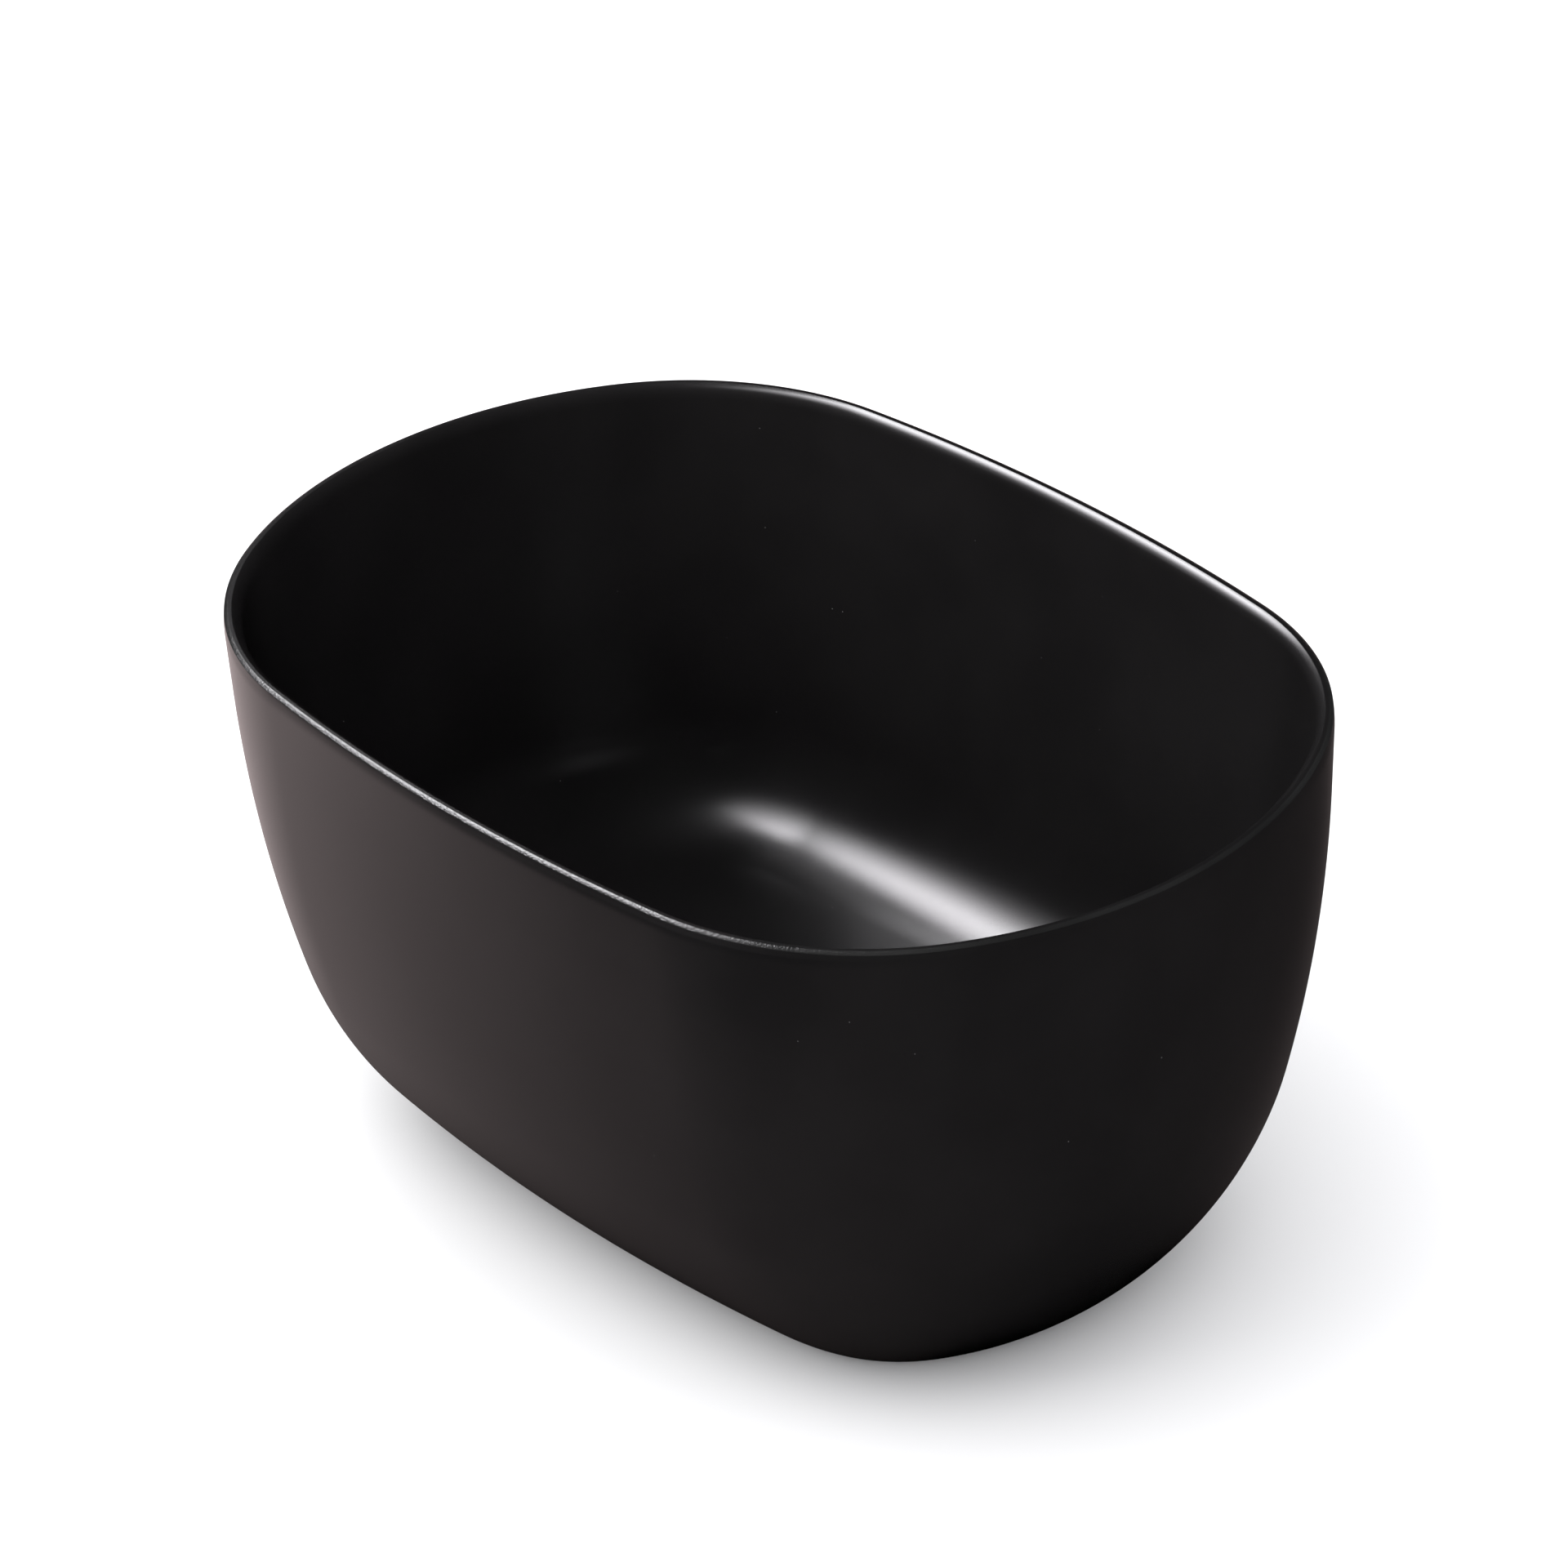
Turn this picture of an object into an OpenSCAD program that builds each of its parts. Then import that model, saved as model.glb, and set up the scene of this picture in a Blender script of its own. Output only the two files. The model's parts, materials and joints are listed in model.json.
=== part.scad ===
// Freestanding double-skin bathtub: an oval well hung from its rim inside an oval outer skin,
// carried on a board, two leg bars and four levelling feet, with a push plug and an overflow.
// The origin is on the floor under the middle of the tub; the length runs along X.

/* [Tub] */
// Overall length at the rim
tub_length = 1200; // [1160:10:1240]
// Overall width at the rim
tub_width = 840; // [820:10:860]
// Height of the rim above the floor
tub_height = 600; // [590:5:610]
// Radius of the two long sides of the oval
side_r = 2270; // [2200:10:2350]
// Half angle of each long side's arc
side_a = 7.3; // [6.5:0.1:8]
// Half angle of each end's arc
end_a = 31.2; // [29:0.1:33]

/* [Outer skin] */
// Thickness of the outer skin
skin_t = 5; // [4:0.5:6]
// Lean of the skin below the rim, from vertical
skin_draft = 2.5; // [2:0.1:3]
// Height of the straight band below the rim
skin_band = 80; // [70:1:90]
// Radius of the gentle curve below the band
skin_upper_r = 1540; // [1500:10:1600]
// Lean where the gentle curve meets the tight one
skin_mid_a = 14; // [13.5:0.1:14.5]
// Radius of the tight curve down to the base
skin_lower_r = 378; // [370:1:390]
// Gap between the skin's bottom edge and the floor
skin_gap = 3; // [2:0.5:5]

/* [Inner well] */
// Thickness of the well
well_t = 5; // [4.5:0.5:5.5]
// Width of the rim, to where the inside wall starts
rim_w = 20; // [19:0.5:22]
// Width of the slope along the rim's outer edge
rim_slope_w = 4; // [3:0.5:5]
// Angle of that slope
rim_slope_a = 28; // [25:1:32]
// Width of the rim's flat top
rim_flat = 4.5; // [3.5:0.5:5.5]
// Angle at which the flat top breaks into the inner rounding
rim_break_a = 25; // [20:1:30]
// Depth of the lip that closes onto the outer skin
lip_depth = 9; // [8:0.5:10]
// Lean of the inside wall, from vertical
wall_draft = 8.3; // [7.9:0.1:8.6]
// Radius between the inside wall and the floor
well_fillet_r = 130; // [125:1:135]
// Height of the centre of that radius
well_fillet_z = 248; // [244:1:252]
// Fall of the well's floor towards its flat middle
floor_fall = 1.5; // [1:0.1:2]
// Inset at which the flat middle starts
flat_inset = 300; // [290:5:305]

/* [Feet] */
// Distance of the leg bars from the middle
bar_x = 250; // [240:5:260]
// Distance of the feet from the middle line
foot_y = 140; // [130:5:150]
// Radius of a foot pad
pad_r = 25; // [22:1:27]
// Radius of the foot studs
stud_r = 5; // [5:0.5:6]

/* [Waste and overflow] */
// Outside radius of the tailpiece that goes to the drain
tail_r = 20; // [19:0.5:20]
// Height of the centre of the overflow above the floor
overflow_z = 478; // [470:1:486]
// Radius of the overflow cover
cover_r = 32; // [30:1:34]
// Outside radius of the overflow pipe
pipe_r = 10; // [9:0.5:10]

/* [Hidden] */
$fn = 64;

shell_black = [0.09, 0.085, 0.088];
rubber_black = [0.13, 0.13, 0.13];
steel_grey = [0.62, 0.64, 0.66];
zinc_grey = [0.72, 0.73, 0.74];
chrome_grey = [0.82, 0.83, 0.85];
ply_brown = [0.72, 0.55, 0.36];
plastic_white = [0.88, 0.88, 0.86];
plastic_grey = [0.35, 0.36, 0.38];

fit = 0.05;     // running clearance on a radius
seat = 0.4;     // gap between curved faces that don't touch

// ---- The oval: eight arcs that meet smoothly, the same at every height but for an inset ----
half_l = tub_length / 2;
half_w = tub_width / 2;
m_l = half_l - side_r * sin(side_a);
m_w = half_w - side_r * (1 - cos(side_a));
oval_det = (cos(end_a) - sin(side_a)) * sin(end_a) - (1 - cos(end_a)) * (cos(side_a) - sin(end_a));
corner_r = (m_l * sin(end_a) - (1 - cos(end_a)) * m_w) / oval_det;
end_r = ((cos(end_a) - sin(side_a)) * m_w - (cos(side_a) - sin(end_a)) * m_l) / oval_det;
corner_x = (side_r - corner_r) * sin(side_a);
corner_y = (end_r - corner_r) * sin(end_a);
side_n = 8;     // facets along a long side
end_n = 12;     // facets round an end
corner_n = 10;  // facets round a corner

function arc_points(x, y, r, a0, a1, n) =
    [for (i = [0:n - 1]) let (a = a0 + (a1 - a0) * i / n) [x + r * cos(a), y + r * sin(a)]];

function quarter_turns(points) = [for (p = points) [-p[0], -p[1]]];

function half_oval(d) = concat(
    arc_points(half_l - end_r, 0, end_r - d, -end_a, end_a, end_n),
    arc_points(corner_x, corner_y, corner_r - d, end_a, 90 - side_a, corner_n),
    arc_points(0, half_w - side_r, side_r - d, 90 - side_a, 90 + side_a, side_n),
    arc_points(-corner_x, corner_y, corner_r - d, 90 + side_a, 180 - end_a, corner_n)
);

function oval(d) = concat(half_oval(d), quarter_turns(half_oval(d)));

oval_n = len(oval(0));

// Closed surface through one oval per [inset, height] point; a bowl is closed by its end ovals,
// and a band is closed by joining the last oval to the first.
module oval_loft(profile, band = false) {
    rings = len(profile);
    points = [for (p = profile) for (q = oval(p[0])) [q[0], q[1], p[1]]];
    steps = band ? rings : rings - 1;
    sides = [
        for (k = [0:steps - 1])
            for (i = [0:oval_n - 1])
                let (j = (i + 1) % oval_n, a = k * oval_n, b = ((k + 1) % rings) * oval_n)
                    [a + i, a + j, b + j, b + i]
    ];
    first = [for (i = [oval_n - 1:-1:0]) i];
    last = [for (i = [0:oval_n - 1]) (rings - 1) * oval_n + i];
    polyhedron(points, band ? sides : concat(sides, [first, last]), convexity = 6);
}

// ---- Outer skin profile, as inset against height ----
lip_z = tub_height - lip_depth;
skin_top_z = tub_height - 6;
band_z = skin_top_z - skin_band;
band_inset = skin_band * tan(skin_draft);
mid_z = band_z - skin_upper_r * (sin(skin_mid_a) - sin(skin_draft));
mid_inset = band_inset + skin_upper_r * (cos(skin_draft) - cos(skin_mid_a));

function upper_lean(z) = asin(sin(skin_draft) + (band_z - z) / skin_upper_r);
function lower_lean(z) = asin(sin(skin_mid_a) + (mid_z - z) / skin_lower_r);
function skin_lean(z) = z > band_z ? skin_draft : z > mid_z ? upper_lean(z) : lower_lean(z);
function skin_inset(z) =
    z > band_z ? (skin_top_z - z) * tan(skin_draft)
    : z > mid_z ? band_inset + skin_upper_r * (cos(skin_draft) - cos(upper_lean(z)))
    : mid_inset + skin_lower_r * (cos(skin_mid_a) - cos(lower_lean(z)));
function skin_back(z) = skin_inset(z) + skin_t / cos(skin_lean(z));

skin_bottom_z = skin_gap;
skin_steps = 11;
function skin_z(i) = skin_bottom_z + (lip_z - skin_bottom_z) * pow(i / skin_steps, 1.4);

// ---- Inner well profile ----
rim_in_x = rim_slope_w + rim_flat;
rim_in_r = (rim_w - rim_in_x) / (cos(wall_draft) - sin(rim_break_a));
rim_drop = rim_in_r * (cos(rim_break_a) - sin(wall_draft));
function well_inset(z) =
    let (wall = rim_w + (tub_height - rim_drop - z) * tan(wall_draft))
    z > well_fillet_z - well_fillet_r * sin(wall_draft) ? wall : fillet_inset(z, 0);
function fillet_inset(z, t) =
    well_fillet_x - sqrt(pow(well_fillet_r + t, 2) - pow(well_fillet_z - z, 2));
function well_back(z) =
    z > well_fillet_z - (well_fillet_r + well_t) * sin(wall_draft)
    ? rim_w + (tub_height - rim_drop - z) * tan(wall_draft) - well_t / cos(wall_draft)
    : fillet_inset(z, well_t);

well_fillet_x = rim_w + (tub_height - rim_drop - well_fillet_z) * tan(wall_draft)
    + well_fillet_r / cos(wall_draft);
fillet_steps = 12;
function fillet_point(i, t) =
    let (a = wall_draft + (90 - floor_fall - wall_draft) * i / fillet_steps)
    [well_fillet_x - (well_fillet_r + t) * cos(a), well_fillet_z - (well_fillet_r + t) * sin(a)];
fillet_foot = fillet_point(fillet_steps, 0);
flat_z = fillet_foot[1] - (flat_inset - fillet_foot[0]) * tan(floor_fall);
rim_steps = 6;

// ---- Levels under the well ----
under_z = flat_z - well_t;
recess_z = flat_z - 4;
boss_z = recess_z - well_t;
bed = 0.2;
board_t = 15;
board_z = under_z - bed - board_t;
bar_h = 20;
bar_w = 30;
bar_z = board_z - bar_h;
bar_wall = 2;
bush_h = 12;
bush_z = bar_z - bush_h;
nut_h = 8;
nut_z = bush_z - nut_h;
foot_places = [[bar_x, -foot_y], [bar_x, foot_y], [-bar_x, foot_y], [-bar_x, -foot_y]];

ring_t = 12;
ring_z = 6;
ring_w = 30;
ring_inset = skin_back(ring_z) + seat;
bracket_w = 25;
bracket_t = 2;
bracket_y = corner_y + corner_r - ring_inset - ring_w - 3;
bar_half = bracket_y - 4;

// ---- Levels of the waste ----
flange_r = 35;
flange_t = 2.5;
flange_z = recess_z + 1;
bore_r = tail_r;
thread_r = tail_r + 3;
gasket_t = 3;
body_top = boss_z - gasket_t;
chamber_top = body_top - 18;
inlet_z = chamber_top - 12;
chamber_z = chamber_top - 25;
collar_z = chamber_z - 10;
washer_t = 2.6;
nut_bottom = collar_z - washer_t - 4;
tail_z = 10;
tail_stop = tail_z + 30;
tail_step = 0.6;

cap_z = flange_z + flange_t + 0.6;
cap_t = 4;
guide_z = flange_z - 22;
guide_h = 12;
stem_r = 4;
stem_bottom = guide_z - 14;

// ---- Overflow: local frame on the well's inside wall, +Z into the well ----
overflow_y = -(half_w - well_inset(overflow_z));
overflow_hole_r = 24;

module on_wall()
    translate([0, overflow_y, overflow_z])
        rotate([wall_draft - 90, 0, 0])
            children();

// Middle of the gap between the skins, kept close to the outer skin where the gap opens out
function gap_mid(z) = min((skin_back(z) + well_back(z)) / 2, skin_back(z) + 17 / cos(skin_lean(z)));
function gap_side(z, t) = [-(half_w - gap_mid(z)) + t / cos(skin_lean(z)), z];

// Strip that follows the gap between two heights, of half thickness t and width w along X
module gap_strip(z0, z1, t, w) {
    steps = 14;
    front = [for (i = [0:steps]) gap_side(z0 + (z1 - z0) * i / steps, -t)];
    rear = [for (i = [steps:-1:0]) gap_side(z0 + (z1 - z0) * i / steps, t)];
    translate([-w / 2, 0, 0])
        rotate([90, 0, 90])
            linear_extrude(w)
                polygon(concat(front, rear));
}

duct_w = 50;
duct_t = 5.5;
duct_wall = 1.5;
duct_top = 440;
duct_bottom = 168;
adapter_top = 184;
adapter_bottom = 139;
pipe_wall = 1.5;
pipe_z = 128;
pipe_lean = skin_lean(pipe_z);
bend_r = (pipe_z - inlet_z) / (1 - sin(pipe_lean));
pipe_y = -(half_w - gap_mid(pipe_z));
bend_y = pipe_y + bend_r * cos(pipe_lean);

// ---- Small helpers ----
module ring(r_out, r_in, z0, h)
    translate([0, 0, z0])
        difference() {
            cylinder(r = r_out, h = h);
            translate([0, 0, -1]) cylinder(r = r_in, h = h + 2);
        }

module hex(flats, z0, h)
    translate([0, 0, z0])
        cylinder(r = flats / sqrt(3), h = h, $fn = 6);

module pan_screw(head_r, shank_r, length)
    union() {
        cylinder(r = head_r, h = head_r * 0.7);
        translate([0, 0, -length]) cylinder(r = shank_r, h = length + 0.5);
    }

module at_feet()
    for (p = foot_places)
        translate([p[0], p[1], 0])
            children();

module at_foot(i)
    translate([foot_places[i][0], foot_places[i][1], 0])
        children();

// ---- Shells ----
module outer_skin() {
    inside = [for (i = [0:skin_steps]) [skin_back(skin_z(i)), skin_z(i)]];
    outside = [for (i = [skin_steps:-1:0]) [skin_inset(skin_z(i)), skin_z(i)]];
    color(shell_black)
        oval_loft(concat(inside, outside), band = true);
}

module inner_well() {
    floor_top = [[flat_inset, flat_z], fillet_foot];
    fillet_top = [for (i = [fillet_steps - 1:-1:0]) fillet_point(i, 0)];
    rim_in = [
        for (i = [0:rim_steps])
            let (a = 90 - wall_draft - (90 - wall_draft - rim_break_a) * i / rim_steps)
                [
                    rim_w - rim_in_r * (cos(wall_draft) - sin(a)),
                    tub_height - rim_in_r * (cos(rim_break_a) - cos(a))
                ]
    ];
    rim_out = [
        [rim_slope_w, tub_height],
        [0.7, tub_height - (rim_slope_w - 0.7) * tan(rim_slope_a)],
        [0, tub_height - rim_slope_w * tan(rim_slope_a) - 1]
    ];
    lip = [
        [0, lip_z + 0.1],
        [skin_t + 1.5, lip_z + 0.1],
        [well_back(tub_height - rim_drop - 4), tub_height - rim_drop - 4]
    ];
    fillet_under = [for (i = [0:fillet_steps]) fillet_point(i, well_t)];
    floor_under = [[flat_inset, under_z]];
    color(shell_black)
        difference() {
            union() {
                oval_loft(concat(floor_top, fillet_top, rim_in, rim_out, lip, fillet_under, floor_under));
                translate([0, 0, boss_z]) cylinder(r1 = 56, r2 = 64, h = under_z - boss_z + 0.5);
            }
            translate([0, 0, recess_z]) cylinder(r1 = flange_r + 1, r2 = 60, h = flat_z - recess_z);
            translate([0, 0, recess_z]) cylinder(r = flange_r + 1, h = 10);
            translate([0, 0, boss_z - 5]) cylinder(r = thread_r + 1, h = 40);
            on_wall() translate([0, 0, -15]) cylinder(r = overflow_hole_r, h = 30);
        }
}

module skin_base_ring()
    color(ply_brown)
        difference() {
            translate([0, 0, ring_z]) linear_extrude(ring_t) polygon(oval(ring_inset));
            translate([0, 0, ring_z - 1]) linear_extrude(ring_t + 2) polygon(oval(ring_inset + ring_w));
            for (p = foot_places)
                translate([p[0], sign(p[1]) * (bracket_y + 14), ring_z - 1])
                    cylinder(r = 2.1, h = ring_t + 2);
        }

// ---- Base board and leg bars ----
board_l = 640;
board_w = 300;
board_corner_r = 40;
screw_ys = [-110, -60, 60, 110];

module base_board()
    color(ply_brown)
        difference() {
            union() {
                translate([-board_l / 2, -board_w / 2 + board_corner_r, board_z])
                    cube([board_l, board_w - 2 * board_corner_r, board_t]);
                translate([-board_l / 2 + board_corner_r, -board_w / 2, board_z])
                    cube([board_l - 2 * board_corner_r, board_w, board_t]);
                for (x = [-1, 1])
                    for (y = [-1, 1])
                        translate([
                            x * (board_l / 2 - board_corner_r),
                            y * (board_w / 2 - board_corner_r),
                            board_z
                        ])
                            cylinder(r = board_corner_r, h = board_t);
            }
            translate([0, 0, board_z - 1]) cylinder(r = 68, h = board_t + 2);
            for (x = [-bar_x, bar_x])
                for (y = screw_ys)
                    translate([x, y, board_z - 1]) cylinder(r = 2.1, h = board_t - 1);
        }

module leg_bar(x)
    color(steel_grey)
        difference() {
            translate([x - bar_w / 2, -bar_half, bar_z]) cube([bar_w, 2 * bar_half, bar_h]);
            translate([x - bar_w / 2 + bar_wall, -bar_half - 1, bar_z + bar_wall])
                cube([bar_w - 2 * bar_wall, 2 * bar_half + 2, bar_h - 2 * bar_wall]);
            for (y = [-foot_y, foot_y])
                translate([x, y, bar_z - 1]) cylinder(r = stud_r + 1, h = bar_wall + 2);
            for (y = screw_ys) {
                translate([x, y, bar_z - 1]) cylinder(r = 5.5, h = bar_wall + 2);
                translate([x, y, board_z - bar_wall - 1]) cylinder(r = 2.4, h = bar_wall + 2);
            }
            for (y = [-1, 1])
                translate([x, y * (bar_half - 8), board_z - bar_wall - 1])
                    cylinder(r = 2.5, h = bar_wall + 2);
        }

module bar_end_caps()
    color(plastic_grey)
        for (x = [-bar_x, bar_x])
            for (s = [-1, 1])
                translate([x, s * bar_half, bar_z])
                    mirror([0, s < 0 ? 1 : 0, 0])
                        difference() {
                            union() {
                                translate([-bar_w / 2, 0.1, 0]) cube([bar_w, 2, bar_h]);
                                translate([-bar_w / 2 + bar_wall + 0.2, -3, bar_wall + 0.2])
                                    cube([bar_w - 2 * bar_wall - 0.4, 3.2, bar_h - 2 * bar_wall - 0.4]);
                            }
                            translate([-bar_w / 2 + 5, -4, 5]) cube([bar_w - 10, 4, bar_h - 10]);
                        }

module bar_screws()
    color(zinc_grey)
        for (x = [-bar_x, bar_x])
            for (y = screw_ys)
                translate([x, y, board_z - bar_wall])
                    mirror([0, 0, 1])
                        pan_screw(4, 2, 14);

// ---- Brackets that hold the foot of the outer skin to the leg bars ----
module skin_bracket(i) {
    p = foot_places[i];
    top_len = 20;
    foot_len = 24;
    leg_top = board_z + bracket_t;
    leg_foot = ring_z + ring_t;
    color(steel_grey)
        translate([p[0], 0, 0])
            mirror([0, p[1] < 0 ? 1 : 0, 0])
                difference() {
                    union() {
                        translate([-bracket_w / 2, bracket_y, leg_foot])
                            cube([bracket_w, bracket_t, leg_top - leg_foot]);
                        translate([-bracket_w / 2, bracket_y - top_len, board_z])
                            cube([bracket_w, top_len + 0.5, bracket_t]);
                        translate([-bracket_w / 2, bracket_y + 0.5, leg_foot])
                            cube([bracket_w, foot_len, bracket_t]);
                    }
                    translate([0, bar_half - 8, board_z - 1]) cylinder(r = 2.6, h = bracket_t + 2);
                    translate([0, bracket_y + 14, leg_foot - 1]) cylinder(r = 2.6, h = bracket_t + 2);
                }
}

module bracket_screws()
    color(zinc_grey)
        for (p = foot_places)
            translate([p[0], 0, 0])
                mirror([0, p[1] < 0 ? 1 : 0, 0]) {
                    translate([0, bar_half - 8, board_z + bracket_t]) pan_screw(4.5, 2.4, 10);
                    translate([0, bracket_y + 14, ring_z + ring_t + bracket_t]) pan_screw(4.5, 2, 11);
                }

// ---- Levelling feet ----
module foot_bushes()
    color(steel_grey)
        at_feet()
            ring(8.5, stud_r + fit, bush_z, bush_h);

module foot_lock_nuts()
    color(zinc_grey)
        at_feet()
            difference() {
                hex(17, nut_z - 0.2, nut_h);
                translate([0, 0, nut_z - 2]) cylinder(r = stud_r + fit, h = nut_h + 4);
            }

module foot_stud(i)
    color(zinc_grey)
        at_foot(i)
            union() {
                translate([0, 0, 6.1]) cylinder(r = 7, h = 7);
                translate([0, 0, 12]) cylinder(r = stud_r, h = bar_z + 8 - 12);
                hex(14, 18, 8);
            }

module foot_pad(i)
    color(plastic_grey)
        at_foot(i)
            difference() {
                union() {
                    translate([0, 0, 3]) cylinder(r = pad_r, h = 3);
                    translate([0, 0, 6]) cylinder(r1 = pad_r, r2 = 12, h = 5);
                    translate([0, 0, 11]) cylinder(r = 12, h = 4);
                }
                translate([0, 0, 6]) cylinder(r = 7 + fit, h = 10);
            }

module foot_sole(i)
    color(rubber_black)
        at_foot(i)
            cylinder(r = pad_r - 1, h = 3);

// ---- Waste ----
module waste_flange()
    color(chrome_grey)
        rotate_extrude()
            polygon([
                [bore_r, chamber_top + 2], [thread_r, chamber_top + 2], [thread_r, flange_z],
                [flange_r, flange_z], [flange_r, flange_z + 1], [flange_r - 2, flange_z + flange_t],
                [30, flange_z + flange_t], [29.5, flange_z + 1], [bore_r + 2, flange_z + 1],
                [bore_r, flange_z - 1]
            ]);

module waste_top_gasket()
    color(rubber_black)
        ring(flange_r - 1, thread_r + 1.2, recess_z, 1);

module waste_lower_gasket()
    color(rubber_black)
        ring(flange_r - 1, thread_r + 0.1, body_top, gasket_t);

module waste_body()
    color(plastic_white)
        difference() {
            union() {
                rotate_extrude()
                    polygon([
                        [0, chamber_z], [24, chamber_z], [24, collar_z], [27, collar_z],
                        [27, collar_z + 5], [27, body_top - 4], [flange_r - 1, body_top - 4],
                        [flange_r - 1, body_top], [0, body_top]
                    ]);
                translate([0, 0, inlet_z]) rotate([90, 0, 0]) cylinder(r = pipe_r + 4, h = 44);
            }
            translate([0, 0, chamber_top]) cylinder(r = thread_r + fit, h = 40);
            translate([0, 0, collar_z - 1])
                cylinder(r = tail_r + tail_step + seat, h = chamber_top - collar_z + 2);
            translate([0, 0, inlet_z]) rotate([90, 0, 0]) cylinder(r = pipe_r - pipe_wall, h = 50);
            translate([0, -28, inlet_z]) rotate([90, 0, 0]) cylinder(r = pipe_r + fit, h = 20);
        }

module tailpiece()
    color(plastic_white)
        rotate_extrude()
            polygon([
                [tail_r - 2, tail_z], [tail_r, tail_z], [tail_r, tail_stop],
                [tail_r + tail_step, tail_stop], [tail_r + tail_step, chamber_z + 2],
                [tail_r - 2, chamber_z + 2]
            ]);

module tailpiece_washer()
    color(rubber_black)
        ring(23.6, tail_r + tail_step + 0.1, collar_z - washer_t, washer_t);

module tailpiece_nut()
    color(plastic_white)
        difference() {
            union() {
                translate([0, 0, nut_bottom]) cylinder(r = 30, h = 14);
                for (a = [0:45:315])
                    rotate([0, 0, a]) translate([30, 0, nut_bottom]) cylinder(r = 2.5, h = 14);
            }
            translate([0, 0, nut_bottom - 1]) cylinder(r = tail_r + tail_step + seat, h = 20);
            translate([0, 0, nut_bottom + 4]) cylinder(r = 27 + seat, h = 20);
        }

// ---- Push plug ----
module plug_cap()
    color(chrome_grey)
        rotate_extrude()
            polygon([
                [0, cap_z], [31, cap_z], [32, cap_z + 0.8], [31.5, cap_z + 1.8],
                [27, cap_z + 2.9], [18, cap_z + 3.7], [8, cap_z + cap_t], [0, cap_z + cap_t]
            ]);

module plug_seal()
    color(rubber_black)
        ring(28, 12, cap_z - 1.4, 1.4);

module plug_stem()
    color(chrome_grey)
        rotate_extrude()
            polygon([
                [0, stem_bottom], [2.5, stem_bottom], [2.5, guide_z - 2], [stem_r, guide_z - 1],
                [stem_r, cap_z - 6], [11.5, cap_z - 1.4], [11.5, cap_z], [0, cap_z]
            ]);

module cartridge_housing()
    color(plastic_grey)
        difference() {
            union() {
                translate([0, 0, guide_z - 16]) cylinder(r = 7.5, h = guide_h + 16);
                for (a = [0:120:240])
                    rotate([0, 0, a])
                        translate([0, -1.25, guide_z]) cube([bore_r - 1.2, 2.5, 8]);
                ring(bore_r - seat, bore_r - 2.2, guide_z, 8);
            }
            translate([0, 0, guide_z - 1]) cylinder(r = stem_r + fit, h = guide_h + 2);
            translate([0, 0, guide_z - 14.5]) cylinder(r = 6.2, h = 14);
        }

spring_r = 4.6;
spring_wire = 0.6;
spring_turns = 4;

module cartridge_spring() {
    steps = 14 * spring_turns;
    sides = 6;
    rise = 10;
    points = [
        for (i = [0:steps])
            let (a = 360 * spring_turns * i / steps, z = guide_z - 13.6 + rise * i / steps)
                for (k = [0:sides - 1])
                    let (b = 360 * k / sides, r = spring_r + spring_wire * cos(b))
                        [r * cos(a), r * sin(a), z + spring_wire * sin(b)]
    ];
    walls = [
        for (i = [0:steps - 1])
            for (k = [0:sides - 1])
                let (n = (k + 1) % sides, p = i * sides, q = p + sides)
                    each [[p + k, q + k, q + n], [p + k, q + n, p + n]]
    ];
    first = [for (k = [0:sides - 1]) k];
    last = [for (k = [sides - 1:-1:0]) steps * sides + k];
    color(steel_grey)
        polyhedron(points, concat([first, last], walls), convexity = 8);
}

// ---- Overflow ----
module overflow_cover()
    color(chrome_grey)
        on_wall()
            rotate_extrude()
                polygon([
                    [3.2, 6], [cover_r - 5, 6], [cover_r - 2, 4], [cover_r - 2, 3], [cover_r, 3],
                    [cover_r, 5], [cover_r - 4, 8], [3.2, 8.4]
                ]);

module overflow_screw()
    color(chrome_grey)
        on_wall()
            union() {
                translate([0, 0, 8.4]) cylinder(r1 = 5, r2 = 4, h = 1.8);
                translate([0, 0, -11]) cylinder(r = 2, h = 20);
            }

module overflow_gasket()
    color(rubber_black)
        on_wall()
            ring(31, 25, -well_t - 2, 2);

neck_w = duct_w - 2 * duct_wall - 0.6;
head_back = -well_t - 14;

module overflow_head()
    color(plastic_white)
        on_wall()
            difference() {
                union() {
                    translate([0, 0, -well_t - 4]) cylinder(r = 31, h = 2);
                    translate([0, 0, head_back]) cylinder(r = 27, h = 10.5);
                    translate([-neck_w / 2, 8, head_back]) cube([neck_w, 38, 5.6]);
                }
                difference() {
                    translate([0, 0, head_back + 1.6]) cylinder(r = 25, h = 12);
                    translate([0, 0, head_back]) cylinder(r = 4.5, h = 14);
                }
                translate([-neck_w / 2 + 1.6, 8, head_back + 1.4]) cube([neck_w - 3.2, 40, 2.8]);
                translate([0, 0, -11.5]) cylinder(r = 2 + fit, h = 12);
            }

module overflow_duct()
    color(plastic_white)
        difference() {
            gap_strip(duct_bottom, duct_top, duct_t, duct_w);
            gap_strip(duct_bottom - 1, duct_top + 1, duct_t - duct_wall, duct_w - 2 * duct_wall);
        }

module at_pipe_end()
    translate([0, pipe_y, pipe_z])
        rotate([pipe_lean, 0, 0])
            children();

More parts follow.
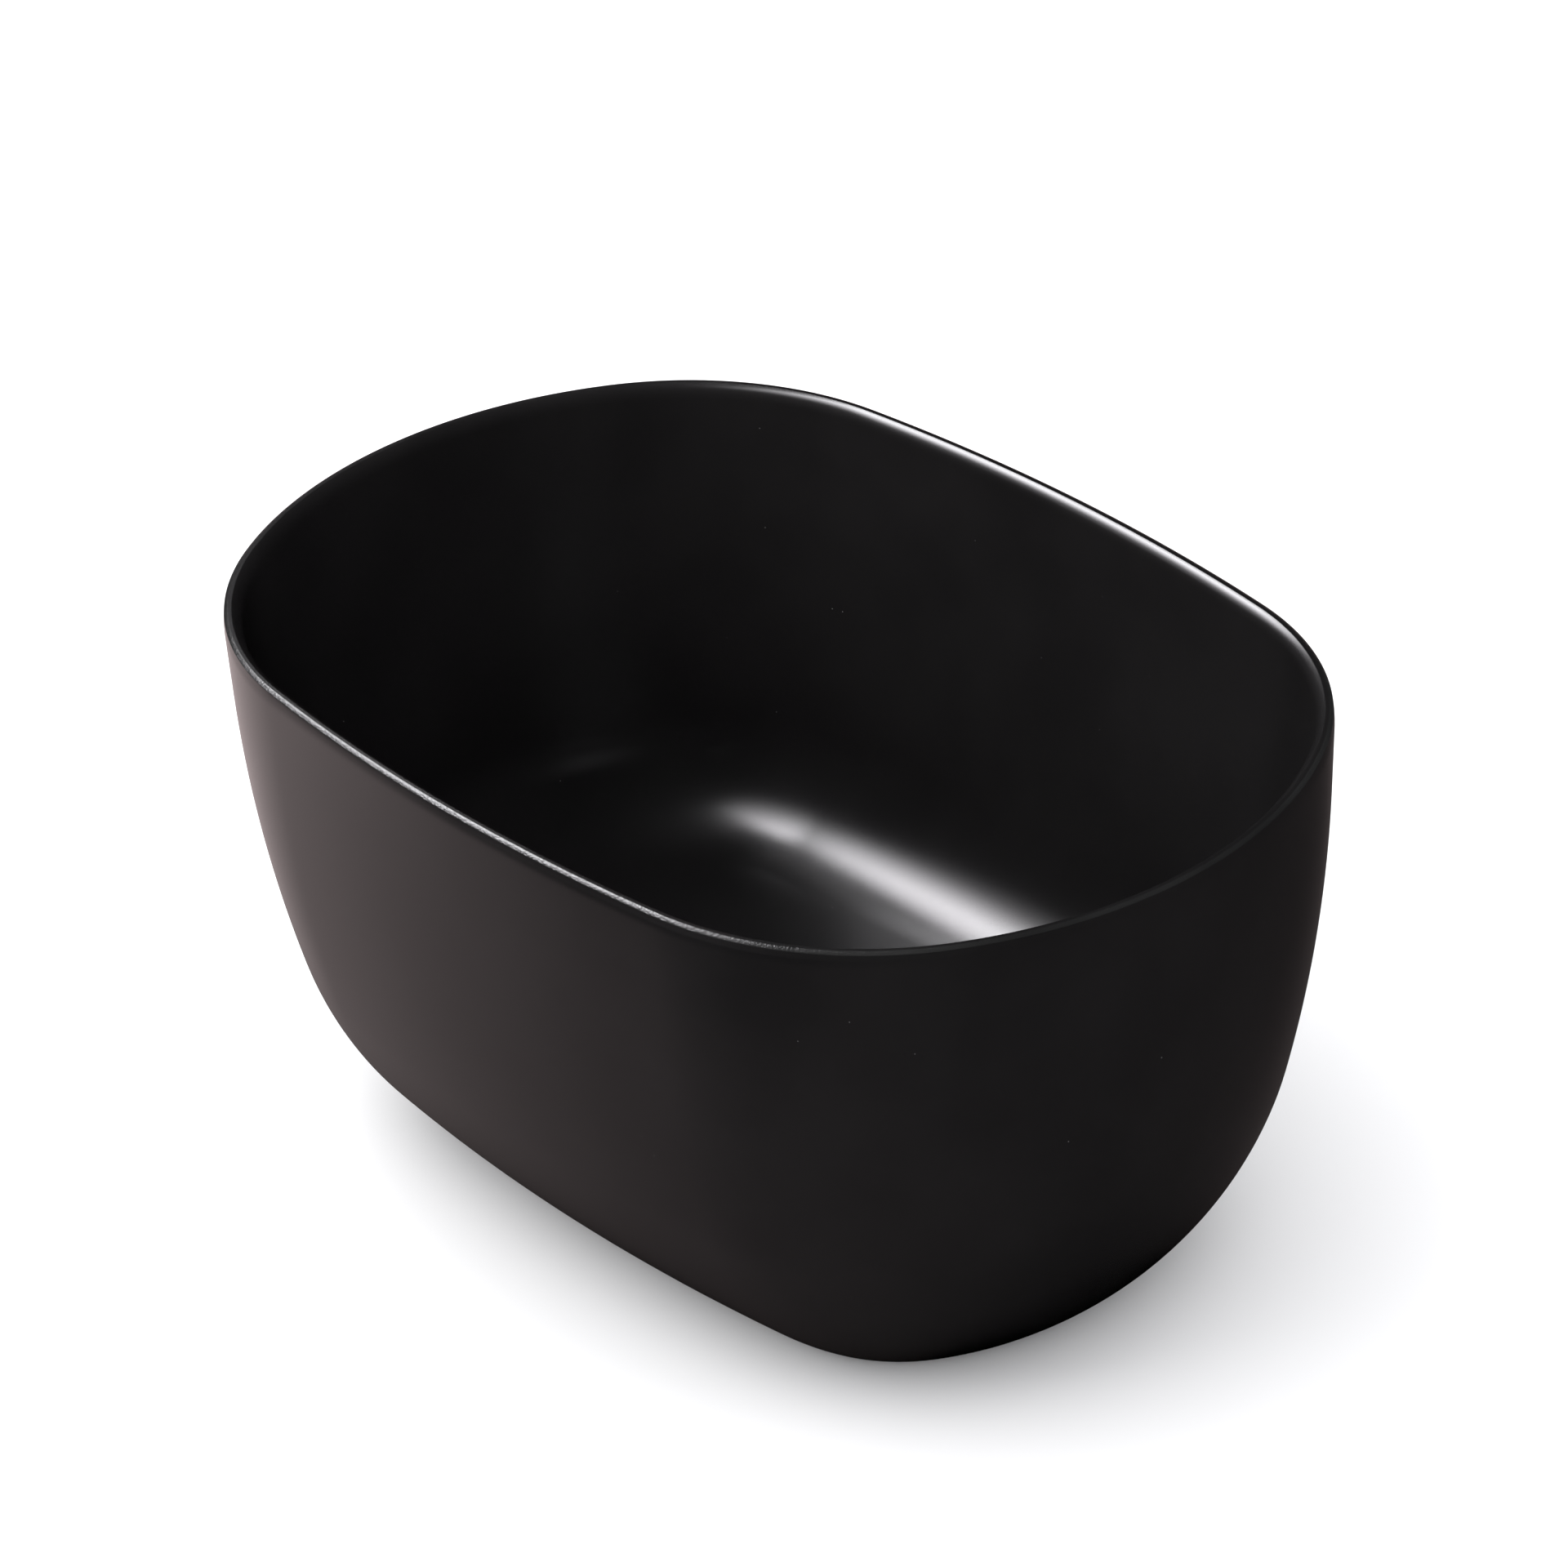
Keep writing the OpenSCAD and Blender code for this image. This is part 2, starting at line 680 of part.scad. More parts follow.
module overflow_adapter()
    color(plastic_white)
        difference() {
            union() {
                gap_strip(adapter_bottom, adapter_top, duct_t + 2.2, duct_w + 4.4);
                at_pipe_end() translate([0, 0, -6]) cylinder(r = pipe_r + 2.8, h = 22);
            }
            gap_strip(duct_bottom - 0.1, adapter_top + 1, duct_t + seat, duct_w + 2 * seat);
            gap_strip(adapter_bottom + 3, duct_bottom + 1, duct_t - duct_wall, duct_w - 2 * duct_wall);
            at_pipe_end() translate([0, 0, -7]) cylinder(r = pipe_r + seat, h = 19);
            at_pipe_end() cylinder(r = duct_t, h = 40);
        }

module overflow_bend()
    color(plastic_white)
        translate([0, bend_y - 0.1, inlet_z + bend_r])
            rotate([90, 0, -90])
                rotate_extrude(angle = 94 - pipe_lean, start = 270)
                    translate([bend_r, 0])
                        difference() {
                            circle(r = pipe_r);
                            circle(r = pipe_r - pipe_wall);
                        }

module overflow_pipe()
    color(plastic_white)
        translate([0, bend_y, inlet_z])
            rotate([-90, 0, 0])
                ring(pipe_r, pipe_r - pipe_wall, 0, -bend_y - 30);

module overflow_pipe_nut()
    color(plastic_white)
        translate([0, -44.4, inlet_z]) rotate([90, 0, 0])
            difference() {
                cylinder(r = pipe_r + 7, h = 10, $fn = 12);
                translate([0, 0, -1]) cylinder(r = pipe_r + 0.2, h = 12);
                translate([0, 0, -1]) cylinder(r = pipe_r + 4.2, h = 4);
            }

module overflow_pipe_seal()
    color(rubber_black)
        translate([0, -44.2, inlet_z]) rotate([90, 0, 0])
            ring(pipe_r + 3.8, pipe_r + 0.1, 0, 2.4);

outer_skin();
inner_well();
skin_base_ring();
base_board();
leg_bar(-bar_x);  // leg_bar_left
leg_bar(bar_x);  // leg_bar_right
bar_end_caps();
bar_screws();
skin_bracket(0);  // skin_bracket_1
skin_bracket(1);  // skin_bracket_2
skin_bracket(2);  // skin_bracket_3
skin_bracket(3);  // skin_bracket_4
bracket_screws();
foot_bushes();
foot_lock_nuts();
foot_stud(0);  // foot_stud_1
foot_stud(1);  // foot_stud_2
foot_stud(2);  // foot_stud_3
foot_stud(3);  // foot_stud_4
foot_pad(0);  // foot_pad_1
foot_pad(1);  // foot_pad_2
foot_pad(2);  // foot_pad_3
foot_pad(3);  // foot_pad_4
foot_sole(0);  // foot_sole_1
foot_sole(1);  // foot_sole_2
foot_sole(2);  // foot_sole_3
foot_sole(3);  // foot_sole_4
waste_flange();
waste_top_gasket();
waste_lower_gasket();
waste_body();
tailpiece();
tailpiece_nut();
tailpiece_washer();
plug_cap();
plug_seal();
plug_stem();
cartridge_housing();
cartridge_spring();
overflow_cover();
overflow_screw();
overflow_gasket();
overflow_head();
overflow_duct();
overflow_adapter();
overflow_bend();
overflow_pipe();
overflow_pipe_nut();
overflow_pipe_seal();
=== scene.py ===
import json
import math

import bmesh
import bpy
from mathutils import Matrix, Vector


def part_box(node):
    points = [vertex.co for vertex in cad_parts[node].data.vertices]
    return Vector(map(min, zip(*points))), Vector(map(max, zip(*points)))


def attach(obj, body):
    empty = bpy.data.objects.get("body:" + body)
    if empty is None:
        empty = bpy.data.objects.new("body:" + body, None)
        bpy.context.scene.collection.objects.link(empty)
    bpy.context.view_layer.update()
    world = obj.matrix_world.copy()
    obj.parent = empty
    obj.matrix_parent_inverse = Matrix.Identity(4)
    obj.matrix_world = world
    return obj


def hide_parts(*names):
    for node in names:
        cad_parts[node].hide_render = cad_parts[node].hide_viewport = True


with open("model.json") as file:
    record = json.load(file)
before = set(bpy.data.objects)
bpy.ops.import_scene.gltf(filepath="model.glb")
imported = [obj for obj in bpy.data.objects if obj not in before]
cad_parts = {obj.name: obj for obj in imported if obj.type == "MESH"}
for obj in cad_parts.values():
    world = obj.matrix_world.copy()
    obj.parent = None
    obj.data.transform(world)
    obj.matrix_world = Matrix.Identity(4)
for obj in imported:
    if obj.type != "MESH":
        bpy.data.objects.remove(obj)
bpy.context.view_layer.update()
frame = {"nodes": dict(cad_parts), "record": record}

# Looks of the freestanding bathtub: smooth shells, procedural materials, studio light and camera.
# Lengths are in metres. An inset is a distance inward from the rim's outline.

# ---- Outline of the rim, from the CAD box and the CAD model's arcs ----
WELL_LOW, WELL_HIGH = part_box("inner_well")
HALF_LENGTH = (WELL_HIGH.x - WELL_LOW.x) / 2
HALF_WIDTH = (WELL_HIGH.y - WELL_LOW.y) / 2
RIM_Z = WELL_HIGH.z
SIDE_RADIUS = 2.270
SIDE_ANGLE = math.radians(7.3)  # half the turn of a long side's arc
END_ANGLE = math.radians(31.2)  # half the turn of an end's arc

# ---- Outer skin, as in the CAD model ----
SKIN_TOP_DEPTH = 0.006  # the CAD skin ends this far under the rim's top
SKIN_THICKNESS = 0.005
SKIN_DRAFT = math.radians(2.5)  # lean of the straight band at the top
SKIN_BAND = 0.080  # height of that band
SKIN_UPPER_RADIUS = 1.540
SKIN_MID_ANGLE = math.radians(14)  # lean where the upper and lower radius meet
SKIN_LOWER_RADIUS = 0.378
SKIN_EDGE_RADIUS = 0.002

# ---- Rim: inner rounding, flat, ground slope, corner and lip, then the crown below them ----
RIM_WIDTH = 0.020
RIM_BREAK = math.radians(25)  # lean of the inner rounding where it meets the flat
RIM_FLAT_START = 0.0055  # inset of the flat's outer edge
RIM_FLAT = 0.0038
FLAT_HOLD = 0.0004  # a ring this near each edge of the flat keeps its shading level
SLOPE_START = math.radians(20)  # fall of the slope at the flat
SLOPE_END = math.radians(36)  # and at the corner
RIM_EDGE_DEPTH = 0.0027  # the slope and its corner reach this far down
RIM_EDGE_RADIUS = 0.0007
LIP_LEAN = math.radians(81)  # fall at the end of the corner, where the lip begins
LIP_DEPTH = 0.009  # the well's lip reaches this far down, and the skin starts there
SEAM = 0.0001  # gap from the lip's foot to the skin's top
CROWN_DEPTH = 0.018
CROWN_RADIUS = 0.080

# ---- Inner well, as in the CAD model ----
WELL_THICKNESS = 0.005
WALL_DRAFT = math.radians(8.3)
FILLET_RADIUS = 0.130
FILLET_Z = 0.248  # height of the fillet's centre
FLOOR_FALL = math.radians(1.5)
FLAT_INSET = 0.300
RECESS_DEPTH = 0.004
RECESS_RADIUS = 0.060
SEAT_RADIUS = 0.036
DRAIN_RADIUS = 0.024
BOSS_RADIUS = 0.056
BOSS_FOOT_RADIUS = 0.064
LIP_BACK_GAP = 0.0015  # between the skin's inside and the back of the lip
WALL_BACK_DROP = 0.004  # the wall's back starts this far under its front
OVERFLOW_RADIUS = 0.024
OVERFLOW_CUT = 0.03
COVER_REACH = 0.0057  # the overflow cover's middle stands this far off the wall

RIM_IN_X = RIM_FLAT_START + RIM_FLAT
RIM_IN_RADIUS = (RIM_WIDTH - RIM_IN_X) / (math.cos(WALL_DRAFT) - math.sin(RIM_BREAK))
RIM_DROP = RIM_IN_RADIUS * (math.cos(RIM_BREAK) - math.sin(WALL_DRAFT))

# ---- Facets: steps per arc of the outline, then rings per stretch of the profiles ----
SIDE_STEPS = 40
END_STEPS = 44
CORNER_STEPS = 32
SKIN_RINGS = 60
SKIN_RING_SPREAD = 1.3  # above 1, the rings are closer together near the floor
CROWN_RINGS = 8
SKIN_EDGE_RINGS = 5
RIM_IN_RINGS = 28
SLOPE_RINGS = 8
RIM_EDGE_RINGS = 6
LIP_RINGS = 6
FILLET_RINGS = 40
FILLET_BACK_RINGS = 24
WALL_RINGS = 14
OVERFLOW_SEGMENTS = 64
SMOOTH_LIMIT = math.radians(40)  # sharper edges stay crisp


# ---- The oval ----
def oval_radii():
    """Radii of the corner and end arcs that meet the long sides smoothly."""
    length_part = HALF_LENGTH - SIDE_RADIUS * math.sin(SIDE_ANGLE)
    width_part = HALF_WIDTH - SIDE_RADIUS * (1 - math.cos(SIDE_ANGLE))
    a = math.cos(END_ANGLE) - math.sin(SIDE_ANGLE)
    b = 1 - math.cos(END_ANGLE)
    c = math.cos(SIDE_ANGLE) - math.sin(END_ANGLE)
    d = math.sin(END_ANGLE)
    # a * corner + b * end = length_part and c * corner + d * end = width_part, solved for both radii
    scale = a * d - b * c
    return (length_part * d - b * width_part) / scale, (a * width_part - c * length_part) / scale


CORNER_RADIUS, END_RADIUS = oval_radii()
CORNER_X = (SIDE_RADIUS - CORNER_RADIUS) * math.sin(SIDE_ANGLE)
CORNER_Y = (END_RADIUS - CORNER_RADIUS) * math.sin(END_ANGLE)


def arc(x, y, radius, start, end, steps):
    """Points on an arc of the outline, without its last point."""
    angles = [start + (end - start) * i / steps for i in range(steps)]
    return [(x + radius * math.cos(a), y + radius * math.sin(a)) for a in angles]


def oval(inset):
    """Points of the rim's outline moved in by inset, anticlockwise from the +X end's first arc."""
    quarter = math.pi / 2
    half = arc(HALF_LENGTH - END_RADIUS, 0, END_RADIUS - inset, -END_ANGLE, END_ANGLE, END_STEPS)
    half += arc(CORNER_X, CORNER_Y, CORNER_RADIUS - inset,
                END_ANGLE, quarter - SIDE_ANGLE, CORNER_STEPS)
    half += arc(0, HALF_WIDTH - SIDE_RADIUS, SIDE_RADIUS - inset,
                quarter - SIDE_ANGLE, quarter + SIDE_ANGLE, SIDE_STEPS)
    half += arc(-CORNER_X, CORNER_Y, CORNER_RADIUS - inset,
                quarter + SIDE_ANGLE, math.pi - END_ANGLE, CORNER_STEPS)
    return half + [(-x, -y) for x, y in half]


def circle_like_oval(radius):
    """A circle with one point in the direction of each point of the oval."""
    return [(radius * math.cos(a), radius * math.sin(a))
            for a in (math.atan2(y, x) for x, y in oval(FLAT_INSET))]


# ---- Profiles, as (inset, height) points ----
def turn(centre, radius, start, end, steps):
    """Points on an arc in the (inset, height) plane, both ends included."""
    return [(centre[0] + radius * math.cos(start + (end - start) * i / steps),
             centre[1] + radius * math.sin(start + (end - start) * i / steps))
            for i in range(steps + 1)]


BAND_Z = RIM_Z - SKIN_TOP_DEPTH - SKIN_BAND
MID_Z = BAND_Z - SKIN_UPPER_RADIUS * (math.sin(SKIN_MID_ANGLE) - math.sin(SKIN_DRAFT))
BAND_INSET = SKIN_BAND * math.tan(SKIN_DRAFT)
MID_INSET = BAND_INSET + SKIN_UPPER_RADIUS * (math.cos(SKIN_DRAFT) - math.cos(SKIN_MID_ANGLE))


def skin_at(z):
    """Inset and lean of the outer skin at a height."""
    if z > BAND_Z:
        return (RIM_Z - SKIN_TOP_DEPTH - z) * math.tan(SKIN_DRAFT), SKIN_DRAFT
    if z > MID_Z:
        lean = math.asin(math.sin(SKIN_DRAFT) + (BAND_Z - z) / SKIN_UPPER_RADIUS)
        return BAND_INSET + SKIN_UPPER_RADIUS * (math.cos(SKIN_DRAFT) - math.cos(lean)), lean
    lean = math.asin(math.sin(SKIN_MID_ANGLE) + (MID_Z - z) / SKIN_LOWER_RADIUS)
    return MID_INSET + SKIN_LOWER_RADIUS * (math.cos(SKIN_MID_ANGLE) - math.cos(lean)), lean


def outside_at(z):
    """Inset of the tub's outside, which curves in a little just under the rim."""
    rise = max(0.0, z - RIM_Z + CROWN_DEPTH)
    return skin_at(z)[0] + CROWN_RADIUS - math.sqrt(CROWN_RADIUS ** 2 - rise ** 2)


def skin_profile():
    """Closed section of the outer skin: up the inside, then down the outside to a rounded edge."""
    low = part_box("outer_skin")[0].z
    shoulder = RIM_Z - CROWN_DEPTH
    heights = [low + (shoulder - low) * (i / SKIN_RINGS) ** SKIN_RING_SPREAD
               for i in range(SKIN_RINGS + 1)]
    heights += [shoulder + (CROWN_DEPTH - LIP_DEPTH) * i / CROWN_RINGS
                for i in range(1, CROWN_RINGS + 1)]
    inside = []
    outside = []
    for z in heights:
        inset, lean = skin_at(z)
        outside.append((outside_at(z), z))
        inside.append((inset + SKIN_THICKNESS / math.cos(lean), z))
    outside = [p for p in outside if p[1] > low + SKIN_EDGE_RADIUS]
    first_inset, lean = skin_at(low + SKIN_EDGE_RADIUS)
    centre = (first_inset + SKIN_EDGE_RADIUS / math.cos(lean), low + SKIN_EDGE_RADIUS)
    edge = turn(centre, SKIN_EDGE_RADIUS, math.pi + lean, 1.5 * math.pi, SKIN_EDGE_RINGS)
    return inside + outside[::-1] + edge


def rim_profile():
    """The rim from the inside wall's top, over the break, the flat and the slope, to the lip's foot."""
    quarter = math.pi / 2
    steep = quarter - WALL_DRAFT
    inner = []
    for i in range(1, RIM_IN_RINGS + 1):
        lean = steep + (RIM_BREAK - steep) * i / RIM_IN_RINGS
        inner.append((RIM_WIDTH - RIM_IN_RADIUS * (math.cos(WALL_DRAFT) - math.sin(lean)),
                      RIM_Z - RIM_IN_RADIUS * (math.cos(RIM_BREAK) - math.cos(lean))))
    flat = [(RIM_IN_X - FLAT_HOLD, RIM_Z), (RIM_FLAT_START + FLAT_HOLD, RIM_Z), (RIM_FLAT_START, RIM_Z)]

    edge_reach = RIM_EDGE_RADIUS * (math.sin(LIP_LEAN) - math.sin(SLOPE_END))
    reach = RIM_FLAT_START - outside_at(RIM_Z - RIM_EDGE_DEPTH) - edge_reach
    radius = reach / (math.sin(SLOPE_END) - math.sin(SLOPE_START))
    centre = (RIM_FLAT_START + radius * math.sin(SLOPE_START), RIM_Z - radius * math.cos(SLOPE_START))
    slope = turn(centre, radius, quarter + SLOPE_START, quarter + SLOPE_END, SLOPE_RINGS)

    inset, height = slope[-1]
    centre = (inset + RIM_EDGE_RADIUS * math.sin(SLOPE_END),
              height - RIM_EDGE_RADIUS * math.cos(SLOPE_END))
    corner = turn(centre, RIM_EDGE_RADIUS, quarter + SLOPE_END, quarter + LIP_LEAN, RIM_EDGE_RINGS)
    top, foot = corner[-1][1], RIM_Z - LIP_DEPTH + SEAM
    lip_heights = [top + (foot - top) * i / LIP_RINGS for i in range(1, LIP_RINGS + 1)]
    return inner + flat + slope[1:] + corner[1:] + [(outside_at(z), z) for z in lip_heights]


def well_profile():
    """Open section of the well: from the flat floor up inside, over the rim and back under."""
    centre_inset = (RIM_WIDTH + (RIM_Z - RIM_DROP - FILLET_Z) * math.tan(WALL_DRAFT)
                    + FILLET_RADIUS / math.cos(WALL_DRAFT))
    centre = (centre_inset, FILLET_Z)
    foot, spring = 1.5 * math.pi - FLOOR_FALL, math.pi + WALL_DRAFT
    fillet = turn(centre, FILLET_RADIUS, foot, spring, FILLET_RINGS)
    fillet_back = turn(centre, FILLET_RADIUS + WELL_THICKNESS, spring, foot, FILLET_BACK_RINGS)
    flat_z = fillet[0][1] - (FLAT_INSET - fillet[0][0]) * math.tan(FLOOR_FALL)
    wall_top = (RIM_WIDTH, RIM_Z - RIM_DROP)
    wall = [tuple(fillet[-1][k] + (wall_top[k] - fillet[-1][k]) * i / WALL_RINGS for k in (0, 1))
            for i in range(1, WALL_RINGS + 1)]
    back_z = RIM_Z - RIM_DROP - WALL_BACK_DROP
    back_inset = (RIM_WIDTH + WALL_BACK_DROP * math.tan(WALL_DRAFT)
                  - WELL_THICKNESS / math.cos(WALL_DRAFT))
    lip_back = [(SKIN_THICKNESS + LIP_BACK_GAP, RIM_Z - LIP_DEPTH + SEAM), (back_inset, back_z)]
    above = [(FLAT_INSET, flat_z)] + fillet + wall + rim_profile() + lip_back
    return above + fillet_back + [(FLAT_INSET, flat_z - WELL_THICKNESS)], flat_z


# ---- Mesh helpers ----
def add_object(name, mesh):
    """New object in the scene that holds the mesh."""
    made = bpy.data.objects.new(name, mesh)
    bpy.context.scene.collection.objects.link(made)
    return made


def shade_smooth(mesh):
    """Smooth faces, with the sharpest edges kept crisp."""
    mesh.polygons.foreach_set("use_smooth", [True] * len(mesh.polygons))
    mesh.set_sharp_from_angle(angle=SMOOTH_LIMIT)


def loft(name, rings, closed):
    """Quads through equal rings of 3-D points; closed joins the last ring to the first."""
    mesh = bpy.data.meshes.new(name)
    count = len(rings[0])
    verts = [p for ring in rings for p in ring]
    faces = []
    for k in range(len(rings) if closed else len(rings) - 1):
        low = k * count
        high = (k + 1) % len(rings) * count
        for i in range(count):
            j = (i + 1) % count
            faces.append((low + i, low + j, high + j, high + i))
    mesh.from_pydata(verts, [], faces)
    mesh.update()
    return mesh


def face_outward(mesh):
    """Every face's normal points out of the closed shell."""
    work = bmesh.new()
    work.from_mesh(mesh)
    bmesh.ops.recalc_face_normals(work, faces=work.faces)
    work.to_mesh(mesh)
    work.free()


def stand_for(piece, node, body):
    """The piece moves with the body and replaces the CAD node."""
    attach(piece, body)
    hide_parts(node)


# ---- Node materials ----
class Nodes:
    """Short way to build a material's node tree."""

    def __init__(self, name):
        self.material = bpy.data.materials.new(name)
        self.material.use_nodes = True
        self.tree = self.material.node_tree
        self.shader = self.tree.nodes["Principled BSDF"]

    def add(self, kind, **values):
        """New node of a kind, with its sockets and settings by name."""
        node = self.tree.nodes.new(kind)
        for key, value in values.items():
            if key in node.inputs:
                node.inputs[key].default_value = value
            else:
                setattr(node, key, value)
        return node

    def link(self, source, target):
        """Wire from an output to an input."""
        self.tree.links.new(source, target)

    def place(self):
        """Coordinates in metres, in the object's own frame."""
        return self.add("ShaderNodeTexCoord").outputs["Object"]

    def noise(self, scale, detail=2.0, rough=0.5):
        """Cloudy noise from 0 to 1, with about scale lumps to the metre."""
        node = self.add("ShaderNodeTexNoise", Scale=scale, Detail=detail, Roughness=rough)
        self.link(self.place(), node.inputs["Vector"])
        return node.outputs["Fac"]

    def ramp(self, source, low, high, from_min=0.35, from_max=0.65):
        """The source's range from_min to from_max becomes low to high, and is held there outside it."""
        node = self.add("ShaderNodeMapRange")
        node.inputs["From Min"].default_value = from_min
        node.inputs["From Max"].default_value = from_max
        node.inputs["To Min"].default_value = low
        node.inputs["To Max"].default_value = high
        self.link(source, node.inputs["Value"])
        return node.outputs["Result"]

    def mix(self, factor, first, second):
        """Blend of two colours, each a plain colour or another node's output."""
        node = self.add("ShaderNodeMix", data_type="RGBA")
        pair = [socket for socket in node.inputs if socket.type == "RGBA"]
        for socket, value in zip(pair, (first, second)):
            if isinstance(value, tuple):
                socket.default_value = (*value, 1)
            else:
                self.link(value, socket)
        self.link(factor, node.inputs[0])
        return next(socket for socket in node.outputs if socket.type == "RGBA")

    def channel(self, colour):
        """One channel of a colour, as a number from 0 to 1."""
        node = self.add("ShaderNodeSeparateColor")
        self.link(colour, node.inputs[0])
        return node.outputs[0]

    def math(self, operation, first, second):
        """Sum, product and so on of two numbers, each plain or another node's output."""
        node = self.add("ShaderNodeMath", operation=operation)
        for socket, value in zip(node.inputs, (first, second)):
            if isinstance(value, (int, float)):
                socket.default_value = value
            else:
                self.link(value, socket)
        return node.outputs[0]

    def bump(self, height, strength, distance):
        """Relief on the whole surface, with distance as its full depth in metres."""
        node = self.add("ShaderNodeBump", Strength=strength, Distance=distance)
        self.link(height, node.inputs["Height"])
        self.link(node.outputs["Normal"], self.shader.inputs["Normal"])

    def set(self, **values):
        """Values of the shader's own sockets, with _ for the space in a name."""
        for key, value in values.items():
            self.shader.inputs[key.replace("_", " ")].default_value = value


DUST = (0.14, 0.14, 0.14)  # colour of the light specks


def satin_black(name, dark, light, grain_scale=1500.0, grain_depth=0.00002):
    """Black cast composite: satin face, fine sprayed grain, faint cloudiness and a few light specks."""
    m = Nodes(name)
    cloud = m.noise(7.0, detail=3.0)
    grain = m.noise(grain_scale, detail=2.0, rough=0.6)
    speck = m.add("ShaderNodeTexVoronoi", Scale=75.0)
    m.link(m.place(), speck.inputs["Vector"])
    dot = m.ramp(speck.outputs["Distance"], 1.0, 0.0, 0.03, 0.05)
    rare = m.ramp(m.channel(speck.outputs["Color"]), 0.0, 1.0, 0.93, 0.95)
    speckled = m.math("MULTIPLY", m.math("MULTIPLY", dot, rare), 0.8)
    dusty = m.mix(speckled, m.mix(m.ramp(cloud, 0.0, 1.0), dark, light), DUST)
    m.link(dusty, m.shader.inputs["Base Color"])
    uneven = m.math("ADD", m.math("MULTIPLY", cloud, 0.4), m.math("MULTIPLY", grain, 0.6))
    m.link(m.ramp(uneven, 0.225, 0.25), m.shader.inputs["Roughness"])
    m.bump(grain, strength=1.0, distance=grain_depth)
    m.set(IOR=1.5)
    return m.material


def chrome():
    """Polished plate with faint wipe marks."""
    m = Nodes("chrome")
    wipe = m.noise(60.0, detail=4.0)
    m.link(m.mix(wipe, (0.78, 0.79, 0.81), (0.86, 0.87, 0.88)), m.shader.inputs["Base Color"])
    m.link(m.ramp(wipe, 0.05, 0.13), m.shader.inputs["Roughness"])
    m.set(Metallic=1.0)
    return m.material


def steel():
    """Galvanised steel with a soft spangle."""
    m = Nodes("galvanised_steel")
    spangle = m.add("ShaderNodeTexVoronoi", Scale=130.0)
    m.link(m.place(), spangle.inputs["Vector"])
    tone = m.channel(spangle.outputs["Color"])
    m.link(m.mix(tone, (0.34, 0.35, 0.37), (0.5, 0.51, 0.53)), m.shader.inputs["Base Color"])
    m.link(m.ramp(tone, 0.32, 0.48, 0.0, 1.0), m.shader.inputs["Roughness"])
    m.bump(m.noise(500.0), strength=0.1, distance=0.0002)
    m.set(Metallic=0.9)
    return m.material


def zinc():
    """Bright zinc plate on turned screws and nuts."""
    m = Nodes("zinc_plate")
    fine = m.noise(900.0, detail=3.0)
    m.link(m.mix(fine, (0.58, 0.6, 0.63), (0.72, 0.73, 0.74)), m.shader.inputs["Base Color"])
    m.link(m.ramp(fine, 0.22, 0.36), m.shader.inputs["Roughness"])
    m.set(Metallic=1.0)
    return m.material


def plywood():
    """Birch ply with long grain and pale pores."""
    m = Nodes("plywood")
    grain = m.add("ShaderNodeTexNoise", Scale=1.0, Detail=6.0, Roughness=0.65)
    stretch = m.add("ShaderNodeMapping")
    stretch.inputs["Scale"].default_value = (6, 140, 140)
    m.link(m.place(), stretch.inputs["Vector"])
    m.link(stretch.outputs[0], grain.inputs["Vector"])
    streaks = m.ramp(grain.outputs["Fac"], 0.0, 1.0)
    m.link(m.mix(streaks, (0.36, 0.22, 0.11), (0.6, 0.43, 0.25)), m.shader.inputs["Base Color"])
    m.link(m.ramp(grain.outputs["Fac"], 0.55, 0.75), m.shader.inputs["Roughness"])
    m.bump(grain.outputs["Fac"], strength=0.25, distance=0.0005)
    return m.material


def plastic(name, dark, light, rough):
    """Moulded plastic with a fine texture."""
    m = Nodes(name)
    tone = m.noise(25.0, detail=3.0)
    m.link(m.mix(m.ramp(tone, 0.0, 1.0), dark, light), m.shader.inputs["Base Color"])
    m.link(m.ramp(tone, rough - 0.04, rough + 0.06), m.shader.inputs["Roughness"])
    m.bump(m.noise(1400.0), strength=0.12, distance=0.0002)
    return m.material


MATERIALS = {
    "black_shell": satin_black("satin_black", (0.0050, 0.0047, 0.0049), (0.0064, 0.0060, 0.0062)),
    "chrome_trim": chrome(),
    "frame_steel": steel(),
    "zinc_plate": zinc(),
    "plywood": plywood(),
    "grey_plastic": plastic("grey_plastic", (0.07, 0.073, 0.078), (0.1, 0.104, 0.11), 0.5),
    "white_plastic": plastic("white_plastic", (0.66, 0.66, 0.64), (0.76, 0.76, 0.74), 0.35),
    "black_rubber": plastic("black_rubber", (0.014, 0.014, 0.014), (0.028, 0.027, 0.026), 0.75),
}
GROUND_EDGE = satin_black("ground_rim_edge", (0.008, 0.008, 0.008), (0.012, 0.012, 0.012),
                          grain_scale=350.0, grain_depth=0.0006)


def paint(piece, slot):
    """The piece wears its slot's material and no other."""
    piece.data.materials.clear()
    piece.data.materials.append(MATERIALS[slot])


def paint_cad_nodes():
    """Every CAD node gets its slot's procedural material."""
    for part in frame["record"]["subparts"]:
        paint(frame["nodes"][part["node"]], part["material_slot"])


# ---- Shells ----
def make_outer_skin():
    """Smooth outside shell, in place of the faceted CAD skin."""
    rings = [[(x, y, z) for x, y in oval(inset)] for inset, z in skin_profile()]
    mesh = loft("outer_skin_shell", rings, closed=True)
    face_outward(mesh)
    shade_smooth(mesh)
    piece = add_object("outer_skin_shell", mesh)
    paint(piece, "black_shell")
    stand_for(piece, "outer_skin", "tub")


